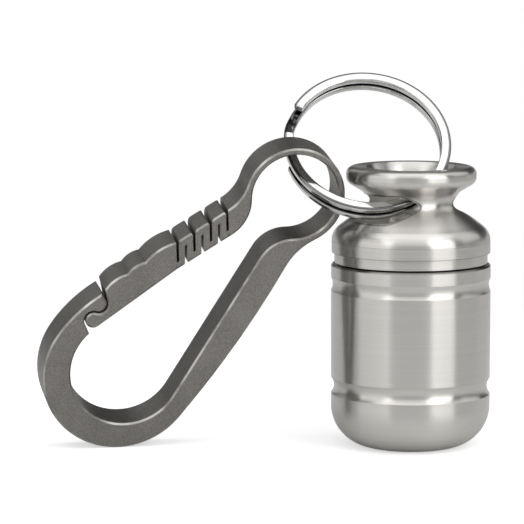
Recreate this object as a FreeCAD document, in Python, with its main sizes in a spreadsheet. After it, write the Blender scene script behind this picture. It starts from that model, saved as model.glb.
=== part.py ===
import FreeCAD, Part
import math
import os

import Sketcher
from FreeCAD import Matrix, Placement, Rotation, Vector

# Pill fob keychain: a screw-top can on a split ring that carries a one-piece spring-gate carabiner.
# The can stands on the floor with its axis on Z; the viewer looks along +Y. Millimetres and degrees.

doc = FreeCAD.newDocument("pill_fob_keychain")

driving_sizes = {
    # can
    "can_radius": 9.5,
    "can_height": 21.95,
    "base_round": 5.0,
    "can_wall": 1.9,
    "can_floor": 1.6,
    "floor_round": 3.2,
    "rim_bevel": 0.18,
    "mouth_wall": 0.68,
    "low_groove_height": 7.35,
    "low_groove_width": 1.95,
    "low_groove_depth": 0.35,
    "top_groove_drop": 2.42,
    "top_groove_width": 1.6,
    "top_groove_depth": 0.2,
    # screw thread shared by the can's mouth and the cap's plug
    "thread_pitch": 1.0,
    "thread_depth_share": 0.42,
    "thread_crest_share": 0.2,
    "thread_flank_angle": 30.0,
    "thread_clearance": 0.1,
    "thread_end_gap": 0.7,
    "thread_runout": 0.6,
    # seal
    "seal_cord_radius": 0.5,
    "seal_clearance": 0.06,
    # cap
    "cap_gap": 0.2,
    "cap_setback": 0.05,
    "cap_band_depth": 0.33,
    "cap_band_height": 1.2,
    "cap_side_height": 1.35,
    "shoulder_round": 2.2,
    "shoulder_angle": 37.3,
    "neck_radius": 5.36,
    "neck_round": 1.34,
    "lip_angle": 31.3,
    "lip_land": 1.46,
    "lip_side_height": 0.42,
    "lip_low_round": 1.0,
    "lip_top_round": 0.8,
    "neck_wall": 0.76,
    "mouth_flare": 0.88,
    "mouth_depth": 2.2,
    "plug_length": 5.5,
    "plug_bevel": 0.35,
    "plug_wall": 1.7,
    "plug_recess_depth": 7.0,
    # two windows that face each other through the neck
    "window_axis_angle": 36.0,
    "window_width": 9.57,
    "window_clearance": 0.75,
    "window_drop": 0.73,
    "window_floor_lift": 0.35,
    "ring_window_azimuth_angle": 240.0,
    # split ring
    "ring_outer_radius": 10.0,
    "ring_wire_width": 1.2,
    "ring_wire_depth": 0.93,
    "ring_coil_gap": 0.44,
    "ring_wire_round": 0.18,
    "ring_lean_angle": 40.2,
    "ring_yaw_angle": 5.0,
    "ring_window_angle": -75.0,
    "ring_window_rise": 0.11,
    "ring_front_end_angle": 148.0,
    "ring_jog_start_angle": 176.0,
    "ring_jog_end_angle": 152.0,
    "ring_rear_end_angle": 196.0,
    # carabiner plate
    "plate_thickness": 5.0,
    "plate_edge": 0.22,
    "eye_room": 2.7,
    "eye_bar": 0.8,
    "bow_reach": 28.72,
    "bow_crest": 1.87,
    "bow_radius": 9.27,
    "bow_bar": 2.62,
    "bow_inner_shift": 0.8,
    "nose_arc_radius": 17.0,
    "spine_outer_radius": 120.0,
    "spine_inner_angle": 27.5,
    "neck_fillet_radius": 7.66,
    "neck_fillet_reach": 1.52,
    "neck_bump_radius": 4.45,
    # spring strip and gate
    "strip_lift": 0.19,
    "strip_width": 2.98,
    "root_run": 0.1,
    "root_fillet_radius": 5.12,
    "root_corner_radius": 4.9,
    "slot_width": 0.3,
    "slot_pitch": 2.295,
    "slot_lean_angle": 28.3,
    "slot_count": 4.0,
    "outer_slot_bridge": 0.78,
    "inner_slot_bridge": 0.9,
    "hook_setback": 0.87,
    "hook_lift": 0.31,
    "hook_radius": 0.95,
    "nose_bulb_radius": 0.95,
    "nose_tip_run": 0.96,
    "nose_tip_rise": 0.94,
    "latch_gap": 0.15,
    "latch_angle": 40.5,
    "latch_lip_reach": 1.28,
    "gate_end_run": 1.57,
    "gate_end_rise": 1.19,
    "front_dip_share": 0.322,
    "rear_dip_share": 0.573,
    "gate_dip_rise": 0.07,
    "front_bump_rise": 0.33,
    "middle_bump_rise": 0.27,
    "rear_bump_rise": 0.37,
    # how the carabiner hangs: its place on the ring and its turn from square to the viewer
    "plate_yaw_angle": 12.0,
    "plate_lean_angle": 12.0,
    "eye_ring_angle": -151.9,
    "eye_seat_side_share": 0.189,
    "eye_seat_drop_share": 0.338,
    # cuts run past the faces that they open by this much
    "overrun": 0.4,
}

full_turn = 360.0
jog_sections = 9
gap_step_degrees = 4

sheet = doc.addObject("Spreadsheet::Sheet", "sizes")
for row, (name, number) in enumerate(driving_sizes.items(), start=1):
    sheet.set(f"A{row}", name)
    sheet.set(f"B{row}", str(number))
    sheet.setAlias(f"B{row}", name)
doc.recompute()


class Size:
    """A number from the sheet together with the expression that gives it."""

    def __init__(self, value, text):
        self.value = value
        self.text = text

    def __add__(self, other):
        return Size(self.value + other.value, f"({self.text} + {other.text})")

    def __sub__(self, other):
        return Size(self.value - other.value, f"({self.text} - {other.text})")

    def __mul__(self, other):
        return Size(self.value * other.value, f"({self.text} * {other.text})")

    def __truediv__(self, other):
        return Size(self.value / other.value, f"({self.text} / {other.text})")

    def __neg__(self):
        return Size(-self.value, f"(-{self.text})")


def size(name):
    return Size(float(sheet.get(name)), f"sizes.{name}")


def count(number):
    return Size(number, str(number))


def sine(angle):
    return Size(math.sin(math.radians(angle.value)), f"sin({angle.text})")


def cosine(angle):
    return Size(math.cos(math.radians(angle.value)), f"cos({angle.text})")


def tangent(angle):
    return Size(math.tan(math.radians(angle.value)), f"tan({angle.text})")


def root(number):
    return Size(math.sqrt(number.value), f"sqrt({number.text})")


zero = count(0)
two = count(2)
right_angle = count(90)


def bind(feature, **expressions):
    for prop, number in expressions.items():
        setattr(feature, prop, number.value)
        feature.setExpression(prop, number.text)


def new_body(label):
    body = doc.addObject("PartDesign::Body", label)
    body.Label = label
    return body


def origin_plane(body, role):
    return next(item for item in body.Origin.OriginFeatures if item.Role == role)


class Outline:
    """A closed sketch outline, drawn edge after edge, whose sizes are bound to the sheet."""

    def __init__(self, body, name, role):
        self.sketch = body.newObject("Sketcher::SketchObject", name)
        self.sketch.AttachmentSupport = [(origin_plane(body, role), "")]
        self.sketch.MapMode = "FlatFace"
        self.ends = []

    def line(self, start, end):
        index = self.sketch.addGeometry(Part.LineSegment(start, end))
        self.ends.append((index, 1, 2))
        return index

    def arc(self, centre, start, end, turn):
        first, last = (start, end) if turn > 0 else (end, start)
        begin = math.atan2(first.y - centre.y, first.x - centre.x)
        finish = math.atan2(last.y - centre.y, last.x - centre.x)
        circle = Part.Circle(centre, Vector(0, 0, 1), (start - centre).Length)
        index = self.sketch.addGeometry(Part.ArcOfCircle(circle, begin, finish))
        self.ends.append((index, 1, 2) if turn > 0 else (index, 2, 1))
        return index

    def join(self, smooth=()):
        # Each edge meets the next; those in smooth run on without a corner.
        for step, (index, _, last) in enumerate(self.ends):
            following, first, _ = self.ends[(step + 1) % len(self.ends)]
            kind = "Tangent" if index in smooth else "Coincident"
            self.sketch.addConstraint(Sketcher.Constraint(kind, index, last, following, first))

    def drive(self, number, kind, *items):
        index = self.sketch.addConstraint(Sketcher.Constraint(kind, *items, number.value))
        self.sketch.setExpression(f"Constraints[{index}]", number.text)

    def radius(self, index, number):
        self.drive(number, "Radius", index)

    def place(self, index, spot, x, y):
        # Puts one end (1, 2) or the centre (3) of an edge at its coordinates.
        for axis, number, line in (("DistanceX", x, -2), ("DistanceY", y, -1)):
            if number.value == 0:
                self.sketch.addConstraint(Sketcher.Constraint("PointOnObject", index, spot, line))
            else:
                self.drive(number, axis, -1, 1, index, spot)


def profile(body, name, role, points):
    """A closed profile through points (x, y); a point (x, y, radius, turn) is reached by an arc."""
    drawing = Outline(body, name, role)
    spots = [Vector(point[0].value, point[1].value, 0) for point in points]
    for step, point in enumerate(points):
        start, end = spots[step - 1], spots[step]
        if len(point) == 2:
            drawing.line(start, end)
            continue
        radius, turn = point[2], point[3]
        half_chord = (end - start) / 2
        rise = math.sqrt(max(radius.value ** 2 - half_chord.Length ** 2, 0))
        across = Vector(-half_chord.y, half_chord.x, 0).normalize() * turn
        drawing.arc(start + half_chord + across * rise, start, end, turn)
    drawing.join()
    for point, (index, _, last) in zip(points, drawing.ends):
        drawing.place(index, last, point[0], point[1])
        if len(point) > 2:
            drawing.radius(index, point[2])
    return drawing.sketch


def revolve(body, sketch):
    feature = body.newObject("PartDesign::Revolution", sketch.Name + "_turned")
    feature.Profile = sketch
    feature.ReferenceAxis = (sketch, ["V_Axis"])
    feature.Angle = full_turn
    doc.recompute()
    return feature


def helix(body, kind, name, sketch, pitch, height):
    feature = body.newObject(kind, name)
    feature.Profile = sketch
    feature.ReferenceAxis = (sketch, ["V_Axis"])
    feature.Mode = "pitch-height-angle"
    bind(feature, Pitch=pitch, Height=height)
    doc.recompute()
    return feature


def pad(body, sketch, length):
    feature = body.newObject("PartDesign::Pad", sketch.Name + "_pad")
    feature.Profile = sketch
    bind(feature, Length=length)
    doc.recompute()
    return feature


# Heights up the can and cap, from the floor.
can_radius = size("can_radius")
can_height = size("can_height")
cap_bottom = can_height + size("cap_gap")
plug_bottom = cap_bottom - size("plug_length")
overrun = size("overrun")

# The seal fills the step between the mouth's wall and the plug.
seal_gap = size("seal_clearance")
seal_cord = size("seal_cord_radius")
seal_seat_radius = can_radius - size("mouth_wall")
seal_radius = seal_seat_radius - seal_gap - seal_cord
seal_height = cap_bottom - seal_gap - seal_cord
seal_seat_floor = seal_height - seal_cord - seal_gap

# The thread runs on the plug below the seal.
pitch = size("thread_pitch")
clearance = size("thread_clearance")
flank_angle = size("thread_flank_angle")
core_radius = seal_radius - seal_cord - seal_gap
crest_radius = core_radius + pitch * size("thread_depth_share")
thread_bore_radius = core_radius + clearance
thread_start = plug_bottom + size("thread_end_gap")
thread_height = seal_seat_floor - size("thread_end_gap") - thread_start
thread_floor = plug_bottom - size("thread_runout")


def groove_points(name, height):
    # A shallow round groove: width and depth give the arc's radius.
    half = size(name + "_width") / two
    depth = size(name + "_depth")
    radius = (half * half + depth * depth) / (two * depth)
    return [(can_radius, height - half), (can_radius, height + half, radius, -1)]


def tooth_points(bore, crest, margin, middle):
    # The thread's section: a flat crest and two sloped flanks that start inside the wall's face.
    half_crest = pitch * size("thread_crest_share") / two + margin
    half_foot = half_crest + (crest - bore) * tangent(flank_angle)
    return [
        (bore, middle - half_foot),
        (crest, middle - half_crest),
        (crest, middle + half_crest),
        (bore, middle + half_foot),
    ]


def build_can():
    body = new_body("can_body")
    base_round = size("base_round")
    chamber_radius = can_radius - size("can_wall")
    floor = size("can_floor")
    floor_round = size("floor_round")
    bevel = size("rim_bevel")
    wall = [
        (zero, zero),
        (can_radius - base_round, zero),
        (can_radius, base_round, base_round, 1),
        *groove_points("low_groove", size("low_groove_height")),
        *groove_points("top_groove", can_height - size("top_groove_drop")),
        (can_radius, can_height - bevel),
        (can_radius - bevel, can_height),
        (seal_seat_radius + bevel, can_height),
        (seal_seat_radius, can_height - bevel),
        (seal_seat_radius, seal_seat_floor),
        (thread_bore_radius, seal_seat_floor),
        (thread_bore_radius, thread_floor),
        (chamber_radius, thread_floor),
        (chamber_radius, floor + floor_round),
        (chamber_radius - floor_round, floor, floor_round, -1),
        (zero, floor),
    ]
    revolve(body, profile(body, "can_wall_profile", "XZ_Plane", wall))
    groove_start = thread_start - pitch
    flank_gap = clearance * (count(1) - sine(flank_angle)) / cosine(flank_angle)
    section = tooth_points(core_radius, crest_radius + clearance, flank_gap, groove_start)
    sketch = profile(body, "mouth_thread_profile", "XZ_Plane", section)
    helix(
        body, "PartDesign::SubtractiveHelix", "mouth_thread", sketch, pitch,
        seal_seat_floor - groove_start + overrun,
    )
    return body


# The ring's wire, and the bore of the cap's neck that it passes into.
ring_depth = size("ring_wire_depth") * two + size("ring_coil_gap")
bore_radius = size("neck_radius") - size("neck_wall")


def build_cap():
    body = new_body("cap")
    cap_radius = can_radius - size("cap_setback")
    band_radius = cap_radius - size("cap_band_depth")
    band_top = cap_bottom + size("cap_band_height")
    side_top = band_top + size("cap_side_height")
    slope = size("shoulder_angle")
    shoulder_round = size("shoulder_round")
    shoulder_run = shoulder_round * tangent((right_angle - slope) / two)
    corner_height = side_top + shoulder_run
    neck_radius = size("neck_radius")
    neck_round = size("neck_round")
    neck_centre = neck_radius + neck_round
    neck_height = corner_height + (
        neck_round - sine(slope) * (neck_centre - cap_radius)
    ) / cosine(slope)
    lip_slope = size("lip_angle")
    top_round = size("lip_top_round")
    mouth_flare = size("mouth_flare")
    mouth_depth = size("mouth_depth")
    mouth_radius = bore_radius + mouth_flare
    mouth_round = (mouth_flare * mouth_flare + mouth_depth * mouth_depth) / (two * mouth_flare)
    lip_radius = mouth_radius + size("lip_land") + top_round
    under_radius = neck_centre - neck_round * sine(lip_slope)
    under_height = neck_height + neck_round * cosine(lip_slope)
    lip_corner = under_height + (lip_radius - under_radius) * tangent(lip_slope)
    low_round = size("lip_low_round")
    low_run = low_round * tangent((right_angle - lip_slope) / two)
    lip_top = lip_corner + low_run + size("lip_side_height") + top_round
    window_height = ring_depth + size("window_clearance")
    half_height = window_height / two
    window_middle = neck_height - size("window_drop")
    window_low = window_middle - half_height
    window_top = window_middle + half_height
    bore_floor = window_low - size("window_floor_lift")
    recess_radius = core_radius - size("plug_wall")
    recess_top = plug_bottom + size("plug_recess_depth")
    bevel = size("plug_bevel")
    section = [
        (zero, recess_top),
        (recess_radius, recess_top),
        (recess_radius, plug_bottom),
        (core_radius - bevel, plug_bottom),
        (core_radius, plug_bottom + bevel),
        (core_radius, cap_bottom),
        (band_radius, cap_bottom),
        (band_radius, band_top),
        (cap_radius, band_top),
        (cap_radius, side_top),
        (
            cap_radius - shoulder_run * cosine(slope),
            corner_height + shoulder_run * sine(slope),
            shoulder_round, 1,
        ),
        (neck_centre - neck_round * sine(slope), neck_height - neck_round * cosine(slope)),
        (under_radius, under_height, neck_round, -1),
        (
            lip_radius - low_run * cosine(lip_slope),
            lip_corner - low_run * sine(lip_slope),
        ),
        (lip_radius, lip_corner + low_run, low_round, 1),
        (lip_radius, lip_top - top_round),
        (lip_radius - top_round, lip_top, top_round, 1),
        (mouth_radius, lip_top),
        (bore_radius, lip_top - mouth_depth, mouth_round, 1),
        (bore_radius, bore_floor),
        (zero, bore_floor),
    ]
    revolve(body, profile(body, "cap_profile", "XZ_Plane", section))

    half_flat = size("window_width") / two - half_height
    corners = [
        Vector(x.value, y.value, 0)
        for x, y in (
            (-half_flat, window_low), (half_flat, window_low),
            (half_flat, window_top), (-half_flat, window_top),
        )
    ]
    window = Outline(body, "ring_window_profile", "YZ_Plane")
    low_edge = window.line(corners[0], corners[1])
    right_end = window.arc((corners[1] + corners[2]) / 2, corners[1], corners[2], 1)
    top_edge = window.line(corners[2], corners[3])
    left_end = window.arc((corners[3] + corners[0]) / 2, corners[3], corners[0], 1)
    window.join(smooth=(low_edge, right_end, top_edge, left_end))
    window.place(low_edge, 1, -half_flat, window_low)
    window.place(low_edge, 2, half_flat, window_low)
    window.drive(window_top, "DistanceY", -1, 1, top_edge, 1)
    window.sketch.addConstraint(Sketcher.Constraint("Horizontal", top_edge))
    window.sketch.AttachmentOffset = Placement(
        Vector(0, 0, 0), Rotation(Vector(0, 1, 0), size("window_axis_angle").value)
    )
    window.sketch.setExpression("AttachmentOffset.Rotation.Angle", size("window_axis_angle").text)
    solid_volume = body.Shape.Volume
    cut = body.newObject("PartDesign::Pocket", "ring_windows")
    cut.Profile = window.sketch
    cut.SideType = "Symmetric"
    bind(cut, Length=(lip_radius + overrun) * two)
    doc.recompute()
    if not body.Shape.Volume < solid_volume:
        raise RuntimeError("the neck windows cut nothing")

    section = tooth_points(core_radius - clearance, crest_radius, zero, thread_start)
    sketch = profile(body, "plug_thread_profile", "XZ_Plane", section)
    helix(body, "PartDesign::AdditiveHelix", "plug_thread", sketch, pitch, thread_height)
    return body, window_middle


def build_seal():
    seal = doc.addObject("Part::Torus", "o_ring")
    seal.Label = "o_ring"
    bind(seal, Radius1=seal_radius, Radius2=seal_cord)
    seal.Placement = Placement(Vector(0, 0, seal_height.value), FreeCAD.Rotation())
    return seal


class RingFrame:
    """The split ring's pose: its wire passes through one window of the neck and leans back."""

    def __init__(self, window_middle):
        yaw = math.radians(size("ring_yaw_angle").value)
        lean = math.radians(size("ring_lean_angle").value)
        azimuth = math.radians(size("ring_window_azimuth_angle").value)
        forward = Vector(-math.sin(yaw), math.cos(yaw), 0)
        self.side = Vector(math.cos(yaw), math.sin(yaw), 0)
        self.up = forward * math.sin(lean) + Vector(0, 0, 1) * math.cos(lean)
        self.normal = self.side.cross(self.up)
        self.wire_radius = size("ring_outer_radius").value - size("ring_wire_width").value / 2
        crossing = Vector(
            bore_radius.value * math.cos(azimuth),
            bore_radius.value * math.sin(azimuth),
            window_middle.value + size("ring_window_rise").value,
        )
        self.centre = Vector(0, 0, 0)
        self.centre = crossing - self.at(size("ring_window_angle").value)

    def outward(self, degrees):
        turn = math.radians(degrees)
        return self.side * math.cos(turn) + self.up * math.sin(turn)

    def at(self, degrees):
        return self.centre + self.outward(degrees) * self.wire_radius

    def along(self, degrees):
        return self.normal.cross(self.outward(degrees))


def wire_section(frame, degrees, height):
    """The flat wire's section with rounded corners, at one angle round the ring."""
    middle = frame.at(degrees) + frame.normal * height
    outward = frame.outward(degrees)
    half_width = size("ring_wire_width").value / 2
    half_depth = size("ring_wire_depth").value / 2
    corner = size("ring_wire_round").value
    bulge = corner * (1 - math.cos(math.radians(45)))

    def spot(across, along):
        return middle + outward * across + frame.normal * along

    edges = []
    corners = [(1, 1), (-1, 1), (-1, -1), (1, -1)]
    for step, (sx, sy) in enumerate(corners):
        along_side = spot(sx * half_width, sy * (half_depth - corner))
        along_face = spot(sx * (half_width - corner), sy * half_depth)
        round_top = spot(sx * (half_width - bulge), sy * (half_depth - bulge))
        start, end = (along_side, along_face) if sx == sy else (along_face, along_side)
        edges.append(Part.Arc(start, round_top, end).toShape())
        nx, ny = corners[(step + 1) % len(corners)]
        if nx != sx:
            finish = spot(nx * (half_width - corner), ny * half_depth)
        else:
            finish = spot(nx * half_width, ny * (half_depth - corner))
        edges.append(Part.LineSegment(end, finish).toShape())
    return Part.Wire(edges)


def ring_turns():
    """The wire's path, clockwise: angle and height above the ring's middle plane as it goes round."""
    step_up = (size("ring_wire_depth").value + size("ring_coil_gap").value) / 2
    front_end = size("ring_front_end_angle").value
    jog_start = size("ring_jog_start_angle").value - full_turn
    jog_end = size("ring_jog_end_angle").value - full_turn
    rear_end = size("ring_rear_end_angle").value - 2 * full_turn
    return step_up, front_end, jog_start, jog_end, rear_end


def jog_height(degrees):
    # The step from the front coil to the rear one, a half wave of the cosine.
    step_up, _, jog_start, jog_end, _ = ring_turns()
    share = min(max((degrees - jog_start) / (jog_end - jog_start), 0), 1)
    return step_up * math.cos(math.pi * share)


def least_gap(frame):
    """The least distance between wire surfaces half a turn or more apart, on points of the section."""
    _, front_end, _, _, rear_end = ring_turns()
    half_width = size("ring_wire_width").value / 2
    half_depth = size("ring_wire_depth").value / 2
    rows = []
    degrees = front_end
    while degrees >= rear_end:
        middle = frame.at(degrees) + frame.normal * jog_height(degrees)
        outward = frame.outward(degrees) * half_width
        depth = frame.normal * half_depth
        rows.append([middle + outward * sx + depth * sy for sx in (-1, 0, 1) for sy in (-1, 0, 1)])
        degrees -= gap_step_degrees
    apart = int(full_turn / 2 / gap_step_degrees)
    gaps = []
    for first in range(len(rows)):
        for second in range(first + apart, len(rows)):
            gaps.extend(a.distanceToPoint(b) for a in rows[first] for b in rows[second])
    return min(gaps)


def build_split_ring(frame):
    _, front_end, jog_start, jog_end, rear_end = ring_turns()

    def coil(start, end):
        face = Part.Face(wire_section(frame, start, jog_height(start)))
        return face.revolve(frame.centre, frame.normal, end - start)

    jog = [
        jog_start + (jog_end - jog_start) * step / (jog_sections - 1)
        for step in range(jog_sections)
    ]
    crossing = Part.makeLoft([wire_section(frame, turn, jog_height(turn)) for turn in jog], True)
    ring = doc.addObject("Part::Feature", "split_ring")
    ring.Label = "split_ring"
    ring.Shape = coil(front_end, jog_start).fuse([crossing, coil(jog_end, rear_end)]).removeSplitter()
    ring.Placement = Placement()
    print("split ring least gap to itself %.3f mm" % least_gap(frame))
    return ring


# The plate's eye and bow, in its own axes with the eye's centre at the origin.
eye_inner = size("plate_thickness") / two + size("eye_room")
eye_outer = eye_inner + size("eye_bar")
bow_x = -size("bow_reach")
bow_y = size("bow_crest") - size("bow_radius")
bow_inner_radius = size("bow_radius") - size("bow_bar")


class PlateFrame:
    """The carabiner plate's pose: its eye hangs on the ring's wire and its bow stands on the floor.

    Plate axes: along runs up the spring strip, across square to it, out towards the viewer.
    """

    def __init__(self, ring):
        yaw = math.radians(size("plate_yaw_angle").value)
        lean = math.radians(size("plate_lean_angle").value)
        half = size("plate_thickness").value / 2
        level = Vector(math.cos(yaw), math.sin(yaw), 0)
        self.out = Vector(
            math.sin(yaw) * math.cos(lean), -math.cos(yaw) * math.cos(lean), -math.sin(lean)
        )
        upright = self.out.cross(level)
        self.eye = (
            ring.at(size("eye_ring_angle").value)
            - level * (eye_inner * size("eye_seat_side_share")).value
            - upright * (eye_inner * size("eye_seat_drop_share")).value
        )
        reach = -bow_x.value
        drop = -bow_y.value
        bow_height = size("bow_radius").value * math.cos(lean) + half * math.sin(lean)
        fall = math.asin((self.eye.z - bow_height) / (math.hypot(reach, drop) * math.cos(lean)))
        roll = fall - math.atan2(drop, reach)
        self.along = level * math.cos(roll) + upright * math.sin(roll)
        self.across = upright * math.cos(roll) - level * math.sin(roll)
        self.placement = Placement(Matrix(
            self.along.x, self.across.x, self.out.x, 0,
            self.along.y, self.across.y, self.out.y, 0,
            self.along.z, self.across.z, self.out.z, 0,
            0, 0, 0, 1,
        ))
        self.placement.Base = self.eye - self.out * half

    def at(self, x, y):
        return self.eye + self.along * x + self.across * y


def polar(centre, radius, degrees):
    turn = math.radians(degrees)
    return centre + Vector(math.cos(turn), math.sin(turn), 0) * radius


def meeting(first, first_radius, second, second_radius, side):
    """The point at two distances from two centres, left (1) or right (-1) of the line between them."""
    between = second - first
    length = between.Length
    ahead = (length ** 2 + first_radius ** 2 - second_radius ** 2) / (2 * length)
    aside = math.sqrt(first_radius ** 2 - ahead ** 2)
    direction = between / length
    return first + direction * ahead + Vector(-direction.y, direction.x, 0) * (side * aside)


def towards(centre, other, radius):
    return centre + (other - centre).normalize() * radius


def touching(centre, radius, point):
    """Where the line from a point touches a circle, on the circle's side clockwise of that point."""
    away = point - centre
    bearing = math.degrees(math.atan2(away.y, away.x))
    return polar(centre, radius, bearing - math.degrees(math.acos(radius / away.Length)))


# Places in the plate's own axes that its three pieces share.
strip_low = size("strip_lift")
strip_top = strip_low + size("strip_width")
slant = tangent(size("slot_lean_angle"))
half_slant = size("strip_width") * slant / two
slot_across = size("slot_width") / cosine(size("slot_lean_angle"))
root_fillet = size("root_fillet_radius")
fillet_span = eye_outer + root_fillet
fillet_rise = strip_top + root_fillet
fillet_run = root(fillet_span * fillet_span - fillet_rise * fillet_rise)
strip_right = -(fillet_run + size("root_run") + half_slant)
strip_left = strip_right - (size("slot_count") - count(1)) * size("slot_pitch") - slot_across
hook_x = bow_x + size("hook_setback")
hook_y = size("hook_lift")
bulb_distance = size("hook_radius") + size("latch_gap") + size("nose_bulb_radius")
bulb_x = hook_x + bulb_distance * cosine(size("latch_angle"))
bulb_y = hook_y + bulb_distance * sine(size("latch_angle"))
nose_tip_x = bulb_x + size("nose_tip_run")
nose_tip_y = bulb_y + size("nose_tip_rise")
gate_end_x = bulb_x + size("gate_end_run")
gate_end_y = bulb_y + size("gate_end_rise")


def gate_dip(name):
    # A dip of the gate's thumb edge, a share of the way from its end to the strip.
    share = size(name)
    across = strip_left + half_slant - gate_end_x
    climb = strip_top - gate_end_y
    return gate_end_x + across * share, gate_end_y + climb * share + size("gate_dip_rise")


def plate_points():
    eye = Vector(0, 0, 0)
    hook = Vector(hook_x.value, hook_y.value, 0)
    bulb = Vector(bulb_x.value, bulb_y.value, 0)
    low_root = Vector((strip_right - half_slant).value, strip_low.value, 0)
    top_root = Vector((strip_right + half_slant).value, strip_top.value, 0)
    low_gate = Vector((strip_left - half_slant).value, strip_low.value, 0)
    top_gate = Vector((strip_left + half_slant).value, strip_top.value, 0)
    return eye, hook, bulb, low_root, top_root, low_gate, top_gate


def break_edges(body, feature, skipped):
    """Bevels the edges of the two flat faces, but for those on the lines given as pairs of points."""
    depth = size("plate_thickness").value
    tiny = size("latch_gap").value / 10

    def on_line(point, line):
        start, end = line
        return abs((end - start).normalize().cross(point - start).z) < tiny

    names = []
    for number, edge in enumerate(feature.Shape.Edges, start=1):
        ends = [vertex.Point for vertex in edge.Vertexes]
        low = all(abs(point.z) < tiny for point in ends)
        top = all(abs(point.z - depth) < tiny for point in ends)
        level = [Vector(point.x, point.y, 0) for point in ends]
        if (low or top) and not any(all(on_line(point, line) for point in level) for line in skipped):
            names.append(f"Edge{number}")
    bevel = body.newObject("PartDesign::Chamfer", feature.Name + "_edges")
    bevel.Base = (feature, names)
    bind(bevel, Size=size("plate_edge"))
    doc.recompute()
    return bevel


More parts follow.
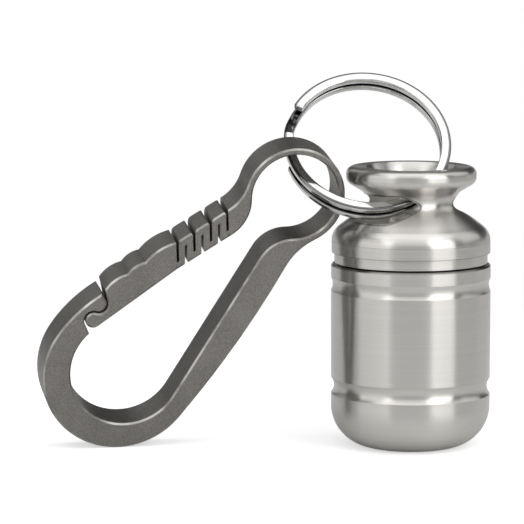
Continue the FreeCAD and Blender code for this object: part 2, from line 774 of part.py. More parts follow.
def build_frame(pose):
    body = new_body("carabiner_frame")
    drawing = Outline(body, "frame_outline", "XY_Plane")
    eye, hook, bulb, low_root, top_root, _, _ = plate_points()
    inner_x = bow_x + size("bow_inner_shift")
    bow = Vector(bow_x.value, bow_y.value, 0)
    inner_bow = Vector(inner_x.value, bow_y.value, 0)
    bow_radius = size("bow_radius").value
    inner_radius = bow_inner_radius.value
    fillet_centre = Vector(-fillet_run.value, fillet_rise.value, 0)
    neck = size("neck_fillet_radius").value
    neck_x = -size("neck_fillet_reach").value
    neck_reach = eye_outer.value + neck
    neck_centre = Vector(neck_x, -math.sqrt(neck_reach ** 2 - neck_x ** 2), 0)
    spine = size("spine_outer_radius").value
    spine_centre = meeting(bow, spine - bow_radius, neck_centre, spine + neck, 1)
    bulb_radius = size("nose_bulb_radius")
    nose = size("nose_arc_radius").value
    nose_tip = Vector(nose_tip_x.value, nose_tip_y.value, 0)
    nose_centre = meeting(bow, nose - bow_radius, nose_tip, nose, -1)
    pocket_radius = size("hook_radius") + size("latch_gap")
    lip_x = hook_x - size("latch_lip_reach")
    lip_rise = math.sqrt(inner_radius ** 2 - (lip_x.value - inner_bow.x) ** 2)
    lip = Vector(lip_x.value, inner_bow.y + lip_rise, 0)
    pocket_end = touching(hook, pocket_radius.value, lip)
    slope = size("spine_inner_angle").value
    spine_start = polar(inner_bow, inner_radius, slope - 90)
    direction = polar(eye, 1, slope)
    normal = polar(eye, 1, slope - 90)
    bump = size("neck_bump_radius").value
    offset = spine_start.dot(normal) + bump
    bump_reach = eye_inner.value + bump
    bump_centre = normal * offset - direction * math.sqrt(bump_reach ** 2 - offset ** 2)
    corner = size("root_corner_radius").value
    corner_y = strip_low.value + corner
    corner_reach = eye_inner.value + corner
    corner_centre = Vector(-math.sqrt(corner_reach ** 2 - corner_y ** 2), corner_y, 0)

    fillet_end = towards(eye, fillet_centre, eye_outer.value)
    neck_start = towards(eye, neck_centre, eye_outer.value)
    spine_end = towards(neck_centre, spine_centre, neck)
    bow_start = towards(spine_centre, bow, spine)
    nose_start = towards(nose_centre, bow, nose)
    bulb_start = touching(bulb, bulb_radius.value, nose_tip)
    pocket_start = towards(hook, bulb, pocket_radius.value)
    bump_start = bump_centre - normal * bump
    bump_end = towards(eye, bump_centre, eye_inner.value)
    corner_start = towards(eye, corner_centre, eye_inner.value)

    top_line = drawing.line(top_root, Vector(fillet_centre.x, strip_top.value, 0))
    fillet_arc = drawing.arc(fillet_centre, Vector(fillet_centre.x, strip_top.value, 0), fillet_end, 1)
    eye_arc = drawing.arc(eye, fillet_end, neck_start, -1)
    neck_arc = drawing.arc(neck_centre, neck_start, spine_end, 1)
    spine_arc = drawing.arc(spine_centre, spine_end, bow_start, -1)
    bow_arc = drawing.arc(bow, bow_start, nose_start, -1)
    nose_arc = drawing.arc(nose_centre, nose_start, nose_tip, -1)
    nose_end = drawing.line(nose_tip, bulb_start)
    bulb_arc = drawing.arc(bulb, bulb_start, pocket_start, -1)
    pocket_arc = drawing.arc(hook, pocket_start, pocket_end, 1)
    lip_line = drawing.line(pocket_end, lip)
    inner_arc = drawing.arc(inner_bow, lip, spine_start, 1)
    spine_line = drawing.line(spine_start, bump_start)
    bump_arc = drawing.arc(bump_centre, bump_start, bump_end, -1)
    eye_inner_arc = drawing.arc(eye, bump_end, corner_start, 1)
    corner_arc = drawing.arc(corner_centre, corner_start, Vector(corner_centre.x, strip_low.value, 0), -1)
    low_line = drawing.line(Vector(corner_centre.x, strip_low.value, 0), low_root)
    drawing.line(low_root, top_root)
    drawing.join(smooth=(
        top_line, fillet_arc, eye_arc, neck_arc, spine_arc, bow_arc, nose_end, bulb_arc,
        pocket_arc, inner_arc, spine_line, bump_arc, eye_inner_arc, corner_arc,
    ))
    for index, number in (
        (fillet_arc, root_fillet), (eye_arc, eye_outer),
        (neck_arc, size("neck_fillet_radius")), (spine_arc, size("spine_outer_radius")),
        (bow_arc, size("bow_radius")), (nose_arc, size("nose_arc_radius")),
        (bulb_arc, bulb_radius), (pocket_arc, pocket_radius),
        (inner_arc, bow_inner_radius), (bump_arc, size("neck_bump_radius")),
        (eye_inner_arc, eye_inner), (corner_arc, size("root_corner_radius")),
    ):
        drawing.radius(index, number)
    drawing.place(top_line, 1, strip_right + half_slant, strip_top)
    drawing.place(nose_end, 1, nose_tip_x, nose_tip_y)
    drawing.place(low_line, 2, strip_right - half_slant, strip_low)
    for index, x, y in (
        (eye_arc, zero, zero), (eye_inner_arc, zero, zero), (bow_arc, bow_x, bow_y),
        (inner_arc, inner_x, bow_y), (pocket_arc, hook_x, hook_y),
    ):
        drawing.place(index, 3, x, y)
    drawing.drive(bulb_x, "DistanceX", -1, 1, bulb_arc, 3)
    drawing.drive(-size("neck_fillet_reach"), "DistanceX", -1, 1, neck_arc, 3)
    drawing.drive(lip_x, "DistanceX", -1, 1, lip_line, 2)
    for index in (top_line, low_line):
        drawing.sketch.addConstraint(Sketcher.Constraint("Horizontal", index))
    angle = drawing.sketch.addConstraint(
        Sketcher.Constraint("Angle", spine_line, math.radians(slope))
    )
    drawing.sketch.setExpression(f"Constraints[{angle}]", "sizes.spine_inner_angle * 1 deg")
    plate = pad(body, drawing.sketch, size("plate_thickness"))
    break_edges(body, plate, [(low_root, top_root)])
    body.Placement = pose.placement
    return body


def build_gate(pose):
    body = new_body("carabiner_gate")
    drawing = Outline(body, "gate_outline", "XY_Plane")
    _, hook, bulb, _, _, low_gate, top_gate = plate_points()
    hook_radius = size("hook_radius")
    notch_radius = size("nose_bulb_radius") + size("latch_gap")
    hook_end = touching(hook, hook_radius.value, low_gate)
    notch_start = towards(hook, bulb, hook_radius.value)
    tip = Vector(gate_end_x.value, gate_end_y.value, 0)
    notch_end = touching(bulb, notch_radius.value, tip)
    bumps = []

    def bump(start, end, name):
        # A thumb scallop between two points of the gate's edge: chord and rise give the arc's radius.
        rise = size(name)
        chord_x = end[0] - start[0]
        chord_y = end[1] - start[1]
        chord_square = chord_x * chord_x + chord_y * chord_y
        radius = chord_square / (count(8) * rise) + rise / two
        first = Vector(start[0].value, start[1].value, 0)
        last = Vector(end[0].value, end[1].value, 0)
        half = (last - first) / 2
        inwards = Vector(half.y, -half.x, 0).normalize()
        index = drawing.arc(first + half + inwards * (radius - rise).value, first, last, -1)
        bumps.append((index, end, radius))

    low_line = drawing.line(low_gate, hook_end)
    hook_arc = drawing.arc(hook, hook_end, notch_start, -1)
    notch_arc = drawing.arc(bulb, notch_start, notch_end, 1)
    end_line = drawing.line(notch_end, tip)
    front_dip = gate_dip("front_dip_share")
    rear_dip = gate_dip("rear_dip_share")
    bump((gate_end_x, gate_end_y), front_dip, "front_bump_rise")
    bump(front_dip, rear_dip, "middle_bump_rise")
    bump(rear_dip, (strip_left + half_slant, strip_top), "rear_bump_rise")
    drawing.line(top_gate, low_gate)
    drawing.join(smooth=(low_line, hook_arc, notch_arc))
    drawing.radius(hook_arc, hook_radius)
    drawing.radius(notch_arc, notch_radius)
    drawing.place(hook_arc, 3, hook_x, hook_y)
    drawing.drive(bulb_x, "DistanceX", -1, 1, notch_arc, 3)
    drawing.place(low_line, 1, strip_left - half_slant, strip_low)
    drawing.place(end_line, 2, gate_end_x, gate_end_y)
    for index, end, radius in bumps:
        drawing.place(index, 1, *end)
        drawing.radius(index, radius)
    plate = pad(body, drawing.sketch, size("plate_thickness"))
    break_edges(body, plate, [(low_gate, top_gate)])
    body.Placement = pose.placement
    return body


def build_flexure(pose):
    body = new_body("gate_flexure")
    strip = [
        (strip_left - half_slant, strip_low),
        (strip_right - half_slant, strip_low),
        (strip_right + half_slant, strip_top),
        (strip_left + half_slant, strip_top),
    ]
    plate = pad(body, profile(body, "strip_outline", "XY_Plane", strip), size("plate_thickness"))
    _, _, _, low_root, top_root, low_gate, top_gate = plate_points()
    break_edges(body, plate, [(low_root, top_root), (low_gate, top_gate)])

    def slots(name, left, mouth, depth, number):
        # A row of slanted slots; left is where the first one's left wall crosses the strip's low edge.
        end = mouth + depth
        outside = mouth - depth * overrun / size("strip_width")
        drift_out = (outside - strip_low) * slant
        drift_end = (end - strip_low) * slant
        shape = [
            (left + drift_out, outside),
            (left + slot_across + drift_out, outside),
            (left + slot_across + drift_end, end),
            (left + drift_end, end),
        ]
        sketch = profile(body, name + "_outline", "XY_Plane", shape)
        cut = body.newObject("PartDesign::Pocket", name)
        cut.Profile = sketch
        cut.Type = "ThroughAll"
        cut.Reversed = True
        doc.recompute()
        row = body.newObject("PartDesign::LinearPattern", name + "_row")
        row.Originals = [cut]
        row.Direction = (sketch, ["H_Axis"])
        bind(row, Length=size("slot_pitch") * (number - count(1)))
        bind(row, Occurrences=Size(int(number.value), number.text))
        body.Tip = row
        doc.recompute()

    before = body.Shape.Volume
    first = strip_left - half_slant
    outer_depth = size("strip_width") - size("outer_slot_bridge")
    inner_depth = size("strip_width") - size("inner_slot_bridge")
    slots("outer_slots", first, strip_top, -outer_depth, size("slot_count"))
    slots(
        "inner_slots", first + size("slot_pitch") / two, strip_low,
        inner_depth, size("slot_count") - count(1),
    )
    if not body.Shape.Volume < before:
        raise RuntimeError("the spring slots cut nothing")
    body.Placement = pose.placement
    return body


def check(items):
    for item in doc.Objects:
        if "Invalid" in item.State or "Error" in item.State:
            raise RuntimeError(f"{item.Name} failed: {item.State}")
    for item in items:
        if item.Shape.isNull() or not item.Shape.isValid():
            raise RuntimeError(f"{item.Label} has no valid shape")
        if len(item.Shape.Solids) != 1:
            raise RuntimeError(f"{item.Label} is not one solid")


can = build_can()
cap, neck_window_middle = build_cap()
seal = build_seal()
ring_frame = RingFrame(neck_window_middle)
split_ring = build_split_ring(ring_frame)
plate_frame = PlateFrame(ring_frame)
frame = build_frame(plate_frame)
gate = build_gate(plate_frame)
flexure = build_flexure(plate_frame)
doc.recompute()

pieces = [can, cap, seal, split_ring, frame, gate, flexure]
check(pieces)
os.makedirs("parts", exist_ok=True)
for piece in pieces:
    piece.Shape.exportStep(f"parts/{piece.Label}.step")
    print("%s volume %.2f mm3" % (piece.Label, piece.Shape.Volume))
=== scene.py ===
import math

import bpy
import numpy as np
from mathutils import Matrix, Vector


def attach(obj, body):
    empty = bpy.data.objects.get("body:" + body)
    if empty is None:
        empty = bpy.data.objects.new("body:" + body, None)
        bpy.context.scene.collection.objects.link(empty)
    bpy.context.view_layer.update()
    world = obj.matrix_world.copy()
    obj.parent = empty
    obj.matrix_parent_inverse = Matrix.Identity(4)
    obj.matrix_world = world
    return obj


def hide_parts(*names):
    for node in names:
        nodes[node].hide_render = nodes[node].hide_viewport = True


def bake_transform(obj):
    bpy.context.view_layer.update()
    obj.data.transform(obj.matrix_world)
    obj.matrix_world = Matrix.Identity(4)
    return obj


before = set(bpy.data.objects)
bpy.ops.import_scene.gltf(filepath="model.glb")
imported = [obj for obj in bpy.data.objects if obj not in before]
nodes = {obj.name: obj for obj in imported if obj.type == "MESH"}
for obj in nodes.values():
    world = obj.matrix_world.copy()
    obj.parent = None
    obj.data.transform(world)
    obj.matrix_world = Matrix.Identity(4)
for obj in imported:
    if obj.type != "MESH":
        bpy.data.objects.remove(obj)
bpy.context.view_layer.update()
mm = 0.001
print("frame loaded:", ", ".join(sorted(nodes)))


# One shader value: sums, products and powers of wires add Math nodes.
class Wire:
    def __init__(self, socket):
        self.socket = socket

    def math(self, operation, first, second):
        tree = self.socket.id_data
        step = tree.nodes.new("ShaderNodeMath")
        step.operation = operation
        for spot, value in zip(step.inputs, (first, second)):
            if isinstance(value, Wire):
                tree.links.new(value.socket, spot)
            else:
                spot.default_value = value
        return Wire(step.outputs[0])

    def __add__(self, other):
        return self.math("ADD", self, other)

    def __radd__(self, other):
        return self.math("ADD", other, self)

    def __sub__(self, other):
        return self.math("SUBTRACT", self, other)

    def __rsub__(self, other):
        return self.math("SUBTRACT", other, self)

    def __mul__(self, other):
        return self.math("MULTIPLY", self, other)

    def __rmul__(self, other):
        return self.math("MULTIPLY", other, self)

    def __abs__(self):
        return self.math("ABSOLUTE", self, 0.0)

    def aboveZero(self):
        return self.math("MAXIMUM", self, 0.0)

    def root(self):
        return self.math("POWER", self, 0.5)


# A node tree to fill: any node comes from node(), with its settings first and then its sockets.
class Finish:
    def __init__(self, owner):
        owner.use_nodes = True
        self.owner = owner
        self.tree = owner.node_tree
        self.tree.nodes.clear()

    def node(self, kind, settings=None, sockets=None, out=0):
        made = self.tree.nodes.new(kind)
        for name, value in (settings or {}).items():
            setattr(made, name, value)
        for name, value in (sockets or {}).items():
            spot = made.inputs[name]
            if isinstance(value, Wire):
                self.tree.links.new(value.socket, spot)
            else:
                spot.default_value = value
        return Wire(made.outputs[out]) if made.outputs else None

    # place on the piece, in metres
    def place(self):
        return self.node("ShaderNodeTexCoord", out=3)

    # vector sums (out 0) and lengths, distances and dot products (out 1)
    def vector(self, operation, first, second=(0.0, 0.0, 0.0), out=0):
        return self.node("ShaderNodeVectorMath", {"operation": operation}, {0: first, 1: second}, out)

    # cloudy noise with so many bumps for each metre
    def noise(self, spot, scale, detail):
        return self.node("ShaderNodeTexNoise", None, {"Vector": spot, "Scale": scale, "Detail": detail})

    # noise of one number
    def lines(self, number, detail):
        settings = {"noise_dimensions": "1D"}
        return self.node("ShaderNodeTexNoise", settings, {"W": number, "Detail": detail, "Scale": 1.0})

    # smooth 0 to 1 as a value goes from low to high
    def ease(self, value, low, high):
        settings = {"interpolation_type": "SMOOTHSTEP"}
        return self.node(
            "ShaderNodeMapRange", settings,
            {"Value": value, "From Min": low, "From Max": high, "To Min": 0.0, "To Max": 1.0},
        )

    # rises from near to full, stays, and falls from fade to end
    def band(self, value, near, full, fade, end):
        return self.ease(value, near, full) * (1.0 - self.ease(value, fade, end))

    # blend of two colours by a 0 to 1 value
    def tint(self, share, first, second):
        return self.node(
            "ShaderNodeMix", {"data_type": "RGBA"}, {0: share, 6: first, 7: second}, out=2,
        )

    # relief from a height, for Normal
    def bump(self, height, strength, depth):
        return self.node("ShaderNodeBump", None, {"Strength": strength, "Distance": depth, "Height": height})

    def principled(self, sockets):
        return self.surface(self.node("ShaderNodeBsdfPrincipled", None, sockets))

    def surface(self, shader):
        self.node("ShaderNodeOutputMaterial", None, {"Surface": shader})
        return self.owner


def newFinish(name):
    return Finish(bpy.data.materials.new(name))


def rgb(red, green, blue):
    return (red, green, blue, 1.0)


# lathe finish of the can and cap
turned = {
    "pale": rgb(0.63, 0.615, 0.587),
    "deep": rgb(0.58, 0.566, 0.538),
    "dark": rgb(0.10, 0.095, 0.09),        # painted shade in the creases and round the hole
    "toneRange": (0.3, 0.7),
    "lineTone": 0.7,                       # lines and clouds share the tone
    "cloudTone": 0.3,
    "roughness": 0.29,
    "lineRoughness": 0.04,
    "cloudRoughness": 0.05,
    "anisotropy": 0.9,
    "across": 0.25,                        # a quarter turn: the gloss spreads across the tool marks
    "slope": 0.6,                          # of the radius that counts as height
    "fineLines": 9000.0,                   # per metre
    "fineDetail": 3.0,
    "fineShare": 0.55,
    "broadLines": 1900.0,
    "broadDetail": 2.0,
    "broadShare": 0.45,
    "cloud": 160.0,
    "cloudDetail": 3.0,
    "bumpStrength": 0.6,
    "bumpDepth": 0.0000005,
    # height, half width and share of painted shade: the seam, the cap's step, the shoulder's edge
    "paintedShadeLines": (
        (21.90 * mm, 0.26 * mm, 0.8),
        (23.36 * mm, 0.10 * mm, 0.55),
        (24.72 * mm, 0.07 * mm, 0.25),
    ),
    # the long hole through the neck, with painted shade round its edge
    "hole": {
        "across": (-0.5878, 0.809, 0.0),
        "halfFlat": 3.26 * mm,
        "middle": 28.8392 * mm,
        "half": 1.525 * mm,
        "edge": (0.02 * mm, 0.06 * mm, 0.12 * mm, 0.24 * mm),
        "share": 0.75,
    },
}


# Tool marks run round Z: noise of one number, height plus part of the radius, gives rings on every face.
# Distance to the hole is that to a level line of its flat length, less half its height.
def turnedTitanium(values):
    make = newFinish("turnedTitanium")
    spot = make.place()
    flat = make.vector("MULTIPLY", spot, (1.0, 1.0, 0.0))
    radius = make.vector("LENGTH", flat, out=1)
    height = make.node("ShaderNodeSeparateXYZ", None, {0: spot}, out=2)
    along = height + radius * values["slope"]
    fine = make.lines(along * values["fineLines"], values["fineDetail"])
    broad = make.lines(along * values["broadLines"], values["broadDetail"])
    cloud = make.noise(spot, values["cloud"], values["cloudDetail"])
    mark = fine * values["fineShare"] + broad * values["broadShare"]
    tone = mark * values["lineTone"] + cloud * values["cloudTone"]
    colour = make.tint(make.ease(tone, *values["toneRange"]), values["deep"], values["pale"])
    # painted shade: dark lines round the can and cap at the seam, the cap's step and the shoulder's edge
    for level, half, share in values["paintedShadeLines"]:
        line = 1.0 - make.ease(abs(height - level), 0.0, half)
        colour = make.tint(line * share, colour, values["dark"])
    # painted shade in a band round the edge of the hole through the neck
    hole = values["hole"]
    aside = abs(make.vector("DOT_PRODUCT", spot, hole["across"], out=1))
    beyond = (aside - hole["halfFlat"]).aboveZero()
    rise = height - hole["middle"]
    outside = (beyond * beyond + rise * rise).root() - hole["half"]
    edge = make.band(outside, *hole["edge"])
    colour = make.tint(edge * hole["share"], colour, values["dark"])
    rough = (
        values["roughness"]
        + (mark - 0.5) * values["lineRoughness"]
        + (cloud - 0.5) * values["cloudRoughness"]
    )
    return make.principled({
        "Base Color": colour, "Roughness": rough, "Metallic": 1.0,
        "Normal": make.bump(mark, values["bumpStrength"], values["bumpDepth"]),
        "Anisotropic": values["anisotropy"], "Anisotropic Rotation": values["across"],
    })


seal = {
    "black": rgb(0.012, 0.012, 0.013),
    "dusty": rgb(0.05, 0.05, 0.052),
    "dust": 2500.0,
    "dustDetail": 4.0,
    "dustRange": (0.5, 0.8),
    "roughness": 0.5,
    "dustRoughness": 0.2,
}


# Black rubber with a little dust.
def nitrileSeal(values):
    make = newFinish("nitrileSeal")
    dust = make.noise(make.place(), values["dust"], values["dustDetail"])
    colour = make.tint(make.ease(dust, *values["dustRange"]), values["black"], values["dusty"])
    rough = values["roughness"] + (dust - 0.5) * values["dustRoughness"]
    return make.principled({"Base Color": colour, "Roughness": rough})


# the plate that the carabiner is cut from, as the part has it
plate = {
    "eye": np.array((-14.28309, -1.77398, 30.78330)) * mm,
    "along": np.array((0.848253, 0.066119, 0.525448)),
    "across": np.array((-0.488987, -0.283221, 0.825032)),
    "out": np.array((0.20337, -0.95677, -0.20791)),
    "half": 2.5 * mm,                      # half its thickness
    "edge": 0.22 * mm,                     # width of the broken edge
}

# bead-blasted and tumbled titanium of the carabiner
blasted = {
    "pale": rgb(0.285, 0.274, 0.257),
    "deep": rgb(0.185, 0.177, 0.166),
    "worn": rgb(0.45, 0.44, 0.42),
    "grain": 6500.0,
    "grainDetail": 3.0,
    "grainShare": 0.75,
    "cloud": 330.0,
    "cloudDetail": 4.0,
    "cloudShare": 0.25,
    "toneRange": (0.34, 0.66),
    "wornRange": (0.35, 0.65),
    "roughness": 0.46,
    "grainRoughness": 0.12,
    "wornRoughness": 0.3,
    "bumpStrength": 0.5,
    "bumpDepth": 0.000012,
    "wear": (-0.01 * mm, 0.03 * mm, -0.02 * mm, -0.004 * mm),      # past the edge's start and the flat face
}


# Grain of two noises; the broken edges, just under the plate's two flat faces, are rubbed bright.
def blastedTitanium(values):
    make = newFinish("blastedTitanium")
    spot = make.place()
    grain = make.noise(spot, values["grain"], values["grainDetail"])
    cloud = make.noise(spot, values["cloud"], values["cloudDetail"])
    away = make.vector("SUBTRACT", spot, tuple(plate["eye"]))
    depth = abs(make.vector("DOT_PRODUCT", away, tuple(plate["out"]), out=1))
    face = plate["half"]
    start = face - plate["edge"]
    near, full, fade, end = values["wear"]
    edge = make.band(depth, start + near, start + full, face + fade, face + end)
    rubbed = edge * make.ease(cloud, *values["wornRange"])
    tone = make.ease(grain * values["grainShare"] + cloud * values["cloudShare"], *values["toneRange"])
    colour = make.tint(rubbed, make.tint(tone, values["deep"], values["pale"]), values["worn"])
    rough = (
        values["roughness"]
        + (grain - 0.5) * values["grainRoughness"]
        + rubbed * (values["wornRoughness"] - values["roughness"])
    )
    return make.principled({
        "Base Color": colour, "Roughness": rough, "Metallic": 1.0,
        "Normal": make.bump(grain, values["bumpStrength"], values["bumpDepth"]),
    })


splitRing = {
    "centre": np.array((-5.23442, 1.64250, 35.88421)) * mm,
    "yaw": 5.0,
    "lean": 40.2,
    "radius": 9.4 * mm,
    "width": 1.2 * mm,                     # of the wire, across the ring
    "depth": 0.93 * mm,                    # of the wire, through the ring
    "corner": 0.3 * mm,
    "start": 148.0,                        # front end
    "stop": -524.0,                        # rear end
    "crossing": (-184.0, -208.0),          # the wire steps from the front coil to the rear one
    "stepUp": 0.685 * mm,
    "endCut": 0.16 * mm,
    "steps": 560,
    "cornerSteps": 9,
    "sharpAngle": 40.0,
    # polish
    "pale": rgb(0.76, 0.76, 0.75),
    "deep": rgb(0.60, 0.60, 0.59),
    # painted shade between the coils and painted dark reflection on the outer corner
    "paintedDark": rgb(0.07, 0.07, 0.07),
    "marks": 700.0,
    "marksDetail": 1.0,
    "cloud": 300.0,
    "cloudDetail": 2.0,
    "toneRange": (0.35, 0.65),
    "roughness": 0.1,
    "cloudRoughness": 0.1,
    "bumpStrength": 0.3,
    "bumpDepth": 0.000002,
    "gap": (0.23 * mm, 0.34 * mm),         # from the ring's middle plane: the painted shade between the coils ends
    "gapShare": 0.85,
    "rim": (9.60 * mm, 9.72 * mm, 9.92 * mm, 9.98 * mm),           # from the centre: painted dark reflection on the outer corner
    "rimShare": 0.85,
}


# The ring's own directions: across the picture, up the leaning circle, and out of its plane.
def ringDirections(values):
    yaw, lean = math.radians(values["yaw"]), math.radians(values["lean"])
    side = np.array((math.cos(yaw), math.sin(yaw), 0.0))
    back = np.array((-math.sin(yaw), math.cos(yaw), 0.0))
    up = back * math.sin(lean) + np.array((0.0, 0.0, math.cos(lean)))
    return side, up, np.cross(side, up)


# Polished wire with faint handling marks, with painted shade by height between the coils and a painted dark
# reflection by radius at the outer corner.
def ringSteel(values):
    make = newFinish("ringSteel")
    spot = make.place()
    marks = make.noise(spot, values["marks"], values["marksDetail"])
    cloud = make.noise(spot, values["cloud"], values["cloudDetail"])
    tone = make.ease(marks * 0.5 + cloud * 0.5, *values["toneRange"])
    colour = make.tint(tone, values["deep"], values["pale"])
    normal = ringDirections(values)[2]
    away = make.vector("SUBTRACT", spot, tuple(values["centre"]))
    height = make.vector("DOT_PRODUCT", away, tuple(normal), out=1)
    reach = make.vector("LENGTH", away, out=1)
    radius = (reach * reach - height * height).root()
    # painted shade between the coils, and a painted dark reflection on the outer corner
    gap = 1.0 - make.ease(abs(height), *values["gap"])
    rim = make.band(radius, *values["rim"])
    colour = make.tint(gap * values["gapShare"], colour, values["paintedDark"])
    colour = make.tint(rim * values["rimShare"], colour, values["paintedDark"])
    rough = values["roughness"] + (cloud - 0.5) * values["cloudRoughness"]
    return make.principled({
        "Base Color": colour, "Roughness": rough, "Metallic": 1.0,
        "Normal": make.bump(marks, values["bumpStrength"], values["bumpDepth"]),
    })


finishes = {
    "can_body": turnedTitanium(turned),
    "split_ring": ringSteel(splitRing),
    "o_ring": nitrileSeal(seal),
    "carabiner_frame": blastedTitanium(blasted),
}
finishes["cap"] = finishes["can_body"]
finishes["carabiner_gate"] = finishes["carabiner_frame"]
finishes["gate_flexure"] = finishes["carabiner_frame"]
for name, finish in finishes.items():
    nodes[name].material_slots[0].material = finish
print("finishes set")


# Rows of points round closed outlines, joined row to row, with a flat face on the first and last row.
def loftMesh(name, rows, sharpAngle):
    count, around = rows.shape[:2]
    step = np.arange(around)
    after = (step + 1) % around
    row = np.arange(count - 1)[:, None] * around
    upper = row + around
    quads = np.stack([row + step, row + after, upper + after, upper + step], -1).reshape(-1, 4)
    ends = [step[::-1].tolist(), (step + (count - 1) * around).tolist()]
    mesh = bpy.data.meshes.new(name)
    mesh.from_pydata(rows.reshape(-1, 3).tolist(), [], quads.tolist() + ends)
    mesh.polygons.foreach_set("use_smooth", np.ones(len(mesh.polygons), dtype=bool))
    mesh.set_sharp_from_angle(angle=math.radians(sharpAngle))
    piece = bpy.data.objects.new(name, mesh)
    bpy.context.scene.collection.objects.link(piece)
    return piece


# Each corner becomes a curve between points a radius away from it: (1-t)^2 a + 2t(1-t) p + t^2 b.
def roundCorners(corners, radii, steps):
    before = np.roll(corners, 1, 0) - corners
    after = np.roll(corners, -1, 0) - corners
    reach = np.asarray(radii)[:, None]
    first = corners + before / np.linalg.norm(before, axis=1, keepdims=True) * reach
    last = corners + after / np.linalg.norm(after, axis=1, keepdims=True) * reach
    t = np.linspace(0.0, 1.0, steps)[None, :, None]
    curve = (1 - t) ** 2 * first[:, None] + 2 * t * (1 - t) * corners[:, None] + t ** 2 * last[:, None]
    return curve.reshape(-1, corners.shape[1])


# smooth 0 to 1 as values go from low to high
def smoothStep(values, low, high):
    share = np.clip((values - low) / (high - low), 0.0, 1.0)
    return share * share * (3.0 - 2.0 * share)


# Flat wire swept twice round a leaning circle: centre + radius (side cos + up sin) + height x normal.
def makeSplitRing(values):
    side, up, normal = ringDirections(values)
    cut = math.degrees(values["endCut"] / values["radius"])
    start, stop = values["start"], values["stop"]
    turn = np.concatenate([[start], np.linspace(start - cut, stop + cut, values["steps"]), [stop]])
    swell = np.ones(len(turn))
    swell[[0, -1]] = 1.0 - values["endCut"] / values["depth"]
    leave, arrive = values["crossing"]
    share = np.clip((turn - leave) / (arrive - leave), 0.0, 1.0)
    height = values["stepUp"] * np.cos(np.pi * share)
    angle = np.radians(turn)[:, None]
    outward = side * np.cos(angle) + up * np.sin(angle)
    middle = values["centre"] + values["radius"] * outward + height[:, None] * normal
    wide, deep = values["width"] / 2, values["depth"] / 2
    corners = np.array(((wide, -deep), (wide, deep), (-wide, deep), (-wide, -deep)))
    profile = roundCorners(corners, [values["corner"]] * 4, values["cornerSteps"])
    rows = (
        middle[:, None]
        + outward[:, None] * (profile[:, 0][None, :, None] * swell[:, None, None])
        + normal * (profile[:, 1][None, :, None] * swell[:, None, None])
    )
    piece = loftMesh("splitRingWire", rows, values["sharpAngle"])
    piece.data.materials.append(finishes["split_ring"])
    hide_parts("split_ring")
    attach(piece, "ring")


springStrip = {
    "left": -15.5395 * mm,                 # ends of the strip at its middle, along the plate
    "right": -8.31378 * mm,
    "low": 0.19 * mm,
    "top": 3.17 * mm,
    "edgeFade": 0.5 * mm,                  # the broken edge runs out this far into a slot
    "pitch": 2.295 * mm,
    "teeth": 3,
    "slot": 0.34072 * mm,                  # along the strip
    "slant": 0.53844,
    "outerDepth": 2.20 * mm,
    "innerDepth": 2.08 * mm,
    "outerMouth": 0.42 * mm,
    "innerMouth": 0.2 * mm,
    "slotEnd": 0.1 * mm,
    "endCorner": 0.02 * mm,
    "cornerSteps": 7,
    "sharpAngle": 35.0,
}


# Outline of a zigzag strip: slots from both long edges, each point shifted by slant x height, then corners rounded.
def makeSpringStrip(values):
    low, top, slot, pitch = values["low"], values["top"], values["slot"], values["pitch"]
    tall = top - low
    lean = values["slant"] * tall / 2
    first, last = values["left"] - lean, values["right"] - lean
    inner, bridge = values["innerDepth"], tall - values["outerDepth"]
    mouth, notch, end = values["outerMouth"], values["innerMouth"], values["slotEnd"]
    tip, teeth = values["endCorner"], values["teeth"]
    # along, height and corner radius, anticlockwise from the low end on the gate's side
    corners = [(first, 0.0, tip)]
    for x in first + pitch * (np.arange(teeth) + 0.5):
        corners += [(x, 0.0, notch), (x, inner, end), (x + slot, inner, end), (x + slot, 0.0, notch)]
    corners += [(last, 0.0, tip), (last, bridge, end), (last - slot, bridge, end), (last - slot, tall, mouth)]
    for x in first + pitch * np.arange(teeth - 1, 0, -1):
        corners += [(x + slot, tall, mouth), (x + slot, bridge, end), (x, bridge, end), (x, tall, mouth)]
    corners += [(first + slot, tall, mouth), (first + slot, bridge, end), (first, bridge, end)]
    corners = np.array(corners)
    flat = np.stack([corners[:, 0] + values["slant"] * corners[:, 1], low + corners[:, 1]], -1)
    outline = roundCorners(flat, corners[:, 2], values["cornerSteps"])
    lowShare = 1.0 - smoothStep(outline[:, 1] - low, 0.0, values["edgeFade"])
    topShare = 1.0 - smoothStep(top - outline[:, 1], 0.0, values["edgeFade"])
    half, edge = plate["half"], plate["edge"]
    broken = outline.copy()
    broken[:, 1] += edge * (lowShare - topShare)
    outlines = np.stack([broken, outline, outline, broken])
    depths = np.array((-half, edge - half, half - edge, half))
    rows = (
        plate["eye"]
        + outlines[..., :1] * plate["along"]
        + outlines[..., 1:] * plate["across"]
        + depths[:, None, None] * plate["out"]
    )
    piece = loftMesh("springStrip", rows, values["sharpAngle"])
    piece.data.materials.append(finishes["gate_flexure"])
    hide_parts("gate_flexure")
    middle = plate["eye"] + plate["across"] * (low + top) / 2
    frameEnd = middle + plate["along"] * values["right"]
    gateEnd = middle + plate["along"] * values["left"]
    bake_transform(piece)


makeSplitRing(splitRing)
makeSpringStrip(springStrip)
print("ring and spring strip made")


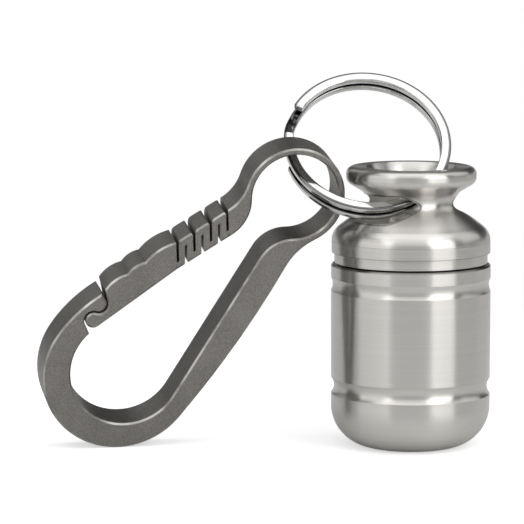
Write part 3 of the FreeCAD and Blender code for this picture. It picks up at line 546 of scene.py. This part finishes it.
studio = {
    "floorRadii": (0.02, 0.06, 0.15, 0.5, 3.0),
    "floorTurns": 96,
    "floorShade": rgb(0.78, 0.78, 0.78),
    "floorLift": 0.55,                     # white added to the paper for the eye, so that its shadows stay faint
    "floorMiddle": (-0.018, 0.0, 0.0),
    "shadowReach": (0.05, 0.12),           # the floor turns plain white between these distances
    "roomLevel": 0.07,
    "horizon": (0.02, 0.12),               # sine of the elevations where the white paper ends
    "backdrop": (0.1, 0.5),                # the paper stands behind the object
    "aim": (-0.018, 0.0, 0.02),
    "lamps": (
        # name, azimuth from the viewer, elevation, distance, width, tall, level
        ("rightBox", 47.0, 20.0, 0.62, 0.40, 0.50, 2.2),
        ("leftBox", -57.0, 18.0, 0.62, 0.62, 0.50, 1.1),
        ("frontBox", 0.0, 37.0, 0.62, 0.95, 0.46, 1.12),
        ("backBox", -142.0, 32.0, 0.62, 0.46, 0.40, 0.4),
        ("topBox", 0.0, 80.0, 0.55, 0.86, 0.44, 1.6),
        ("sideBox", 104.0, 36.0, 0.62, 0.50, 0.46, 0.9),
    ),
}


# A disc of rings about the origin: radius and turn are the two parameters.
def discMesh(name, radii, turns):
    angle = np.linspace(0.0, 2.0 * np.pi, turns, endpoint=False)
    rings = np.asarray(radii)[:, None]
    points = np.stack([rings * np.cos(angle), rings * np.sin(angle), np.zeros((len(radii), turns))], -1)
    step = np.arange(turns)
    after = (step + 1) % turns
    row = np.arange(len(radii) - 1)[:, None] * turns
    outer = row + turns
    quads = np.stack([row + step, outer + step, outer + after, row + after], -1).reshape(-1, 4)
    mesh = bpy.data.meshes.new(name)
    mesh.from_pydata(points.reshape(-1, 3).tolist(), [], quads.tolist() + [step.tolist()])
    return mesh


# White floor: it takes the shadows near the object and is plain white to the eye further out.
def makeFloor(values):
    make = newFinish("paperFloor")
    away = make.vector("DISTANCE", make.place(), values["floorMiddle"], out=1)
    plain = make.ease(away, *values["shadowReach"])
    seen = make.node("ShaderNodeLightPath", out=0)
    paper = make.node("ShaderNodeBsdfDiffuse", None, {"Color": values["floorShade"]})
    dark = make.node("ShaderNodeEmission", None, {"Strength": 0.0})
    lift = make.node("ShaderNodeEmission", None, {"Strength": values["floorLift"]})
    lifted = make.node("ShaderNodeMixShader", None, {0: seen, 1: dark, 2: lift})
    near = make.node("ShaderNodeAddShader", None, {0: paper, 1: lifted})
    white = make.node("ShaderNodeEmission", None, {"Strength": 1.0})
    make.surface(make.node("ShaderNodeMixShader", None, {0: seen * plain, 1: near, 2: white}))
    floor = bpy.data.objects.new("floor", discMesh("floor", values["floorRadii"], values["floorTurns"]))
    floor.data.materials.append(make.owner)
    bpy.context.scene.collection.objects.link(floor)


# A soft box aimed at the object; its power is level x pi x area, so level is what a mirror would show.
def makeLamp(aim, name, azimuth, elevation, distance, width, tall, level):
    lamp = bpy.data.lights.new(name, "AREA")
    lamp.shape = "RECTANGLE"
    lamp.size, lamp.size_y = width, tall
    lamp.energy = level * math.pi * width * tall
    turn, rise = math.radians(azimuth), math.radians(elevation)
    back = Vector((math.sin(turn) * math.cos(rise), -math.cos(turn) * math.cos(rise), math.sin(rise)))
    holder = bpy.data.objects.new(name, lamp)
    holder.location = Vector(aim) + back * distance
    holder.rotation_euler = (-back).to_track_quat("-Z", "Y").to_euler()
    bpy.context.scene.collection.objects.link(holder)


# The room is dim, and white to the eye; metal mirrors that white low down behind the object.
def makeRoom(values):
    world = bpy.data.worlds.new("room")
    bpy.context.scene.world = world
    make = Finish(world)
    seen = make.node("ShaderNodeLightPath", out=0)
    mirrored = make.node("ShaderNodeLightPath", out=3) + make.node("ShaderNodeLightPath", out=6)
    way = make.node("ShaderNodeTexCoord", out=0)
    rise = make.node("ShaderNodeSeparateXYZ", None, {0: way}, out=2)
    behind = make.node("ShaderNodeSeparateXYZ", None, {0: way}, out=1)
    paper = (1.0 - make.ease(rise, *values["horizon"])) * make.ease(behind, *values["backdrop"])
    level = values["roomLevel"] + (seen + mirrored * paper) * (1.0 - values["roomLevel"])
    room = make.node("ShaderNodeBackground", None, {"Color": rgb(1.0, 1.0, 1.0), "Strength": level})
    make.node("ShaderNodeOutputWorld", None, {"Surface": room})


viewer = {
    "target": (-0.01774, 0.0, 0.02208),    # this point is at the middle of the picture
    "elevation": 7.3,
    "distance": 0.42,
    "lens": 242.1,
    "sensor": 36.0,
    "clip": (0.01, 20.0),
}


# The camera stands a distance from its target, raised by the elevation, and looks down by as much.
def makeCamera(values):
    rise = math.radians(values["elevation"])
    x, y, z = values["target"]
    camera = bpy.data.cameras.new("viewer")
    camera.lens, camera.sensor_width = values["lens"], values["sensor"]
    camera.clip_start, camera.clip_end = values["clip"]
    holder = bpy.data.objects.new("viewer", camera)
    holder.location = (x, y - values["distance"] * math.cos(rise), z + values["distance"] * math.sin(rise))
    holder.rotation_euler = (math.radians(90.0) - rise, 0.0, 0.0)
    bpy.context.scene.collection.objects.link(holder)
    bpy.context.scene.camera = holder


makeFloor(studio)
for lampValues in studio["lamps"]:
    makeLamp(studio["aim"], *lampValues)
makeRoom(studio)
makeCamera(viewer)
bpy.context.scene.view_settings.view_transform = "Standard"
print("studio and camera set")
